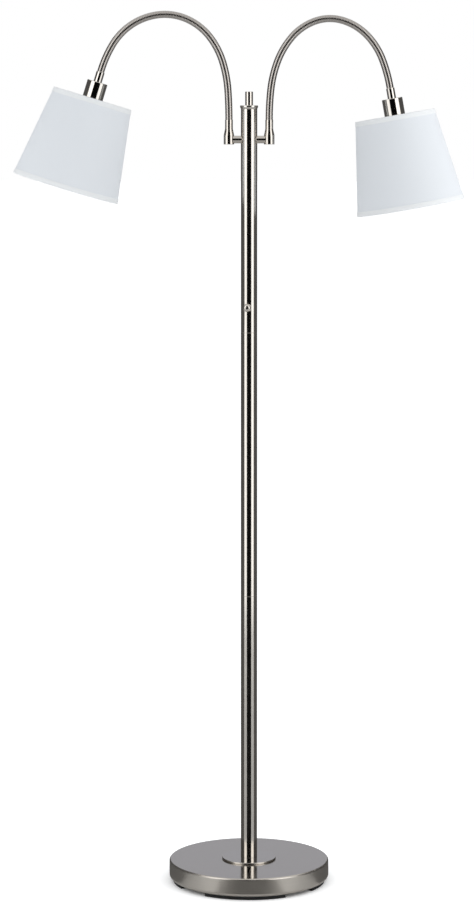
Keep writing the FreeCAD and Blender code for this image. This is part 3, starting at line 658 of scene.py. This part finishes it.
def darkCard(name, start, end, tone, onFloor=True):
    # a card bent round the lamp, its foot lying on the floor up to the base; it glows its own tone for
    # shallow rays and a pale tone for steep ones, a painted reflection of the floor, so that only upright
    # walls mirror the card and what faces down mirrors the pale tone
    material, tree = newMaterial(name)
    shape = addNode(tree, "ShaderNodeNewGeometry")
    ray = addNode(tree, "ShaderNodeSeparateXYZ", links={"Vector": shape.outputs["Incoming"]})
    steep = addNode(tree, "ShaderNodeMapRange", {"From Min": studio["shallow"], "From Max": studio["steep"]},
                    {"Value": ray.outputs["Z"]})
    # steep rays see the painted floor reflection in place of the card's tone
    seen = addNode(tree, "ShaderNodeMix", {"A": (*tone, 1), "B": studio["floorReflectionTone"]},
                   {"Factor": steep.outputs[0]}, data_type="RGBA")
    glow = addNode(tree, "ShaderNodeEmission", links={"Color": seen.outputs["Result"]})
    addNode(tree, "ShaderNodeOutputMaterial", links={"Surface": glow.outputs[0]})
    steps = studio["cardSteps"]
    heights = [(studio["cardRadius"], studio["cardHigh"]), (studio["cardRadius"], studio["cardLow"])]
    if onFloor:
        heights.append((studio["footRadius"], studio["cardLow"]))
    vertices, faces = [], []
    for i in range(steps + 1):
        angle = start + (end - start) * i / steps
        vertices += [around(angle, radius, height) for radius, height in heights]
    count = len(heights)
    for i in range(steps):
        for k in range(count - 1):
            first = count * i + k
            faces.append((first, first + 1, first + count + 1, first + count))
    card = newPiece(name, vertices, faces, material=material)
    card.visible_camera = False
    card.visible_diffuse = False
    card.visible_shadow = False


def paleFloor():
    half = studio["floorSize"] / 2
    material, tree = newMaterial("paleFloor")
    ray = addNode(tree, "ShaderNodeLightPath")
    matt = addNode(tree, "ShaderNodeBsdfDiffuse", {"Color": toLinear(studio["floorColour"])})
    # the glow dims where the floor is close to the lamp: painted contact shadow
    paintedContactShade = addNode(tree, "ShaderNodeAmbientOcclusion", {"Distance": studio["contactReach"]})
    glow = addNode(tree, "ShaderNodeEmission", {"Strength": studio["floorGlow"]},
                   {"Color": paintedContactShade.outputs["Color"]})
    both = addNode(tree, "ShaderNodeAddShader", links={0: matt.outputs[0], 1: glow.outputs[0]})
    shown = addNode(tree, "ShaderNodeMixShader",
                    links={"Fac": ray.outputs["Is Camera Ray"], 1: matt.outputs[0], 2: both.outputs[0]})
    addNode(tree, "ShaderNodeOutputMaterial", links={"Surface": shown.outputs[0]})
    floor = newPiece("paleFloor", [(-half, -half, 0), (half, -half, 0), (half, half, 0), (-half, half, 0)],
                     [(0, 1, 2, 3)], material=material)


def whiteWorld():
    world = bpy.data.worlds.new("whiteStudio")
    world.use_nodes = True
    tree = world.node_tree
    tree.nodes.clear()
    ray = addNode(tree, "ShaderNodeLightPath")
    seen = ray.outputs["Is Camera Ray"]
    for kind in ("Is Glossy Ray", "Is Transmission Ray"):
        seen = addNode(tree, "ShaderNodeMath", links={0: seen, 1: ray.outputs[kind]},
                       operation="MAXIMUM").outputs[0]
    fill = addNode(tree, "ShaderNodeBackground", {"Color": toLinear(studio["fillColour"]),
                                                  "Strength": studio["fillStrength"]})
    white = addNode(tree, "ShaderNodeBackground", {"Color": (1, 1, 1, 1), "Strength": 1.0})
    mixed = addNode(tree, "ShaderNodeMixShader", links={"Fac": seen, 1: fill.outputs[0],
                                                        2: white.outputs[0]})
    addNode(tree, "ShaderNodeOutputWorld", links={"Surface": mixed.outputs[0]})
    bpy.context.scene.world = world


paleFloor()
whiteWorld()
softbox("leftSoftbox", -50, 1.35)
softbox("rightSoftbox", 50, 1.45)
sideLight("leftSideLight", -80, 2.0)
sideLight("rightSideLight", 80, 5.0)
darkCard("frontCard", -31, 31, (0.004, 0.004, 0.004))
darkCard("leftCard", -165, -72, (0.12, 0.12, 0.12))
darkCard("rightCard", 72, 165, (0.12, 0.12, 0.12))
darkCard("backCard", 165, 195, (0.5, 0.51, 0.56), onFloor=False)
print("stage: studio set")


# The camera: a long lens, level with the shades' height and tipped down a little
camera = {
    "height": 1.301,
    "distance": 4.767,
    "leftOfPole": 21 * mm,
    "tip": 2.6,                # degrees down
    "focalPixels": 2740,       # of the picture, 909 pixels high
    "pictureHeight": 909,
    "principalRow": 263.4,     # pixels down from the picture's top edge to the lens's own axis
    "sensorWidth": 36,
}
lens = bpy.data.cameras.new("camera")
lens.sensor_width = camera["sensorWidth"]
lens.lens = camera["focalPixels"] / camera["pictureHeight"] * lens.sensor_width
lens.shift_y = -(camera["pictureHeight"] / 2 - camera["principalRow"]) / camera["pictureHeight"]
view = bpy.data.objects.new("camera", lens)
view.location = (-camera["leftOfPole"], -camera["distance"], camera["height"])
view.rotation_euler = (math.radians(90 - camera["tip"]), 0, 0)
bpy.context.scene.collection.objects.link(view)
bpy.context.scene.camera = view
bpy.context.scene.view_settings.view_transform = "Standard"

print("stage: done")
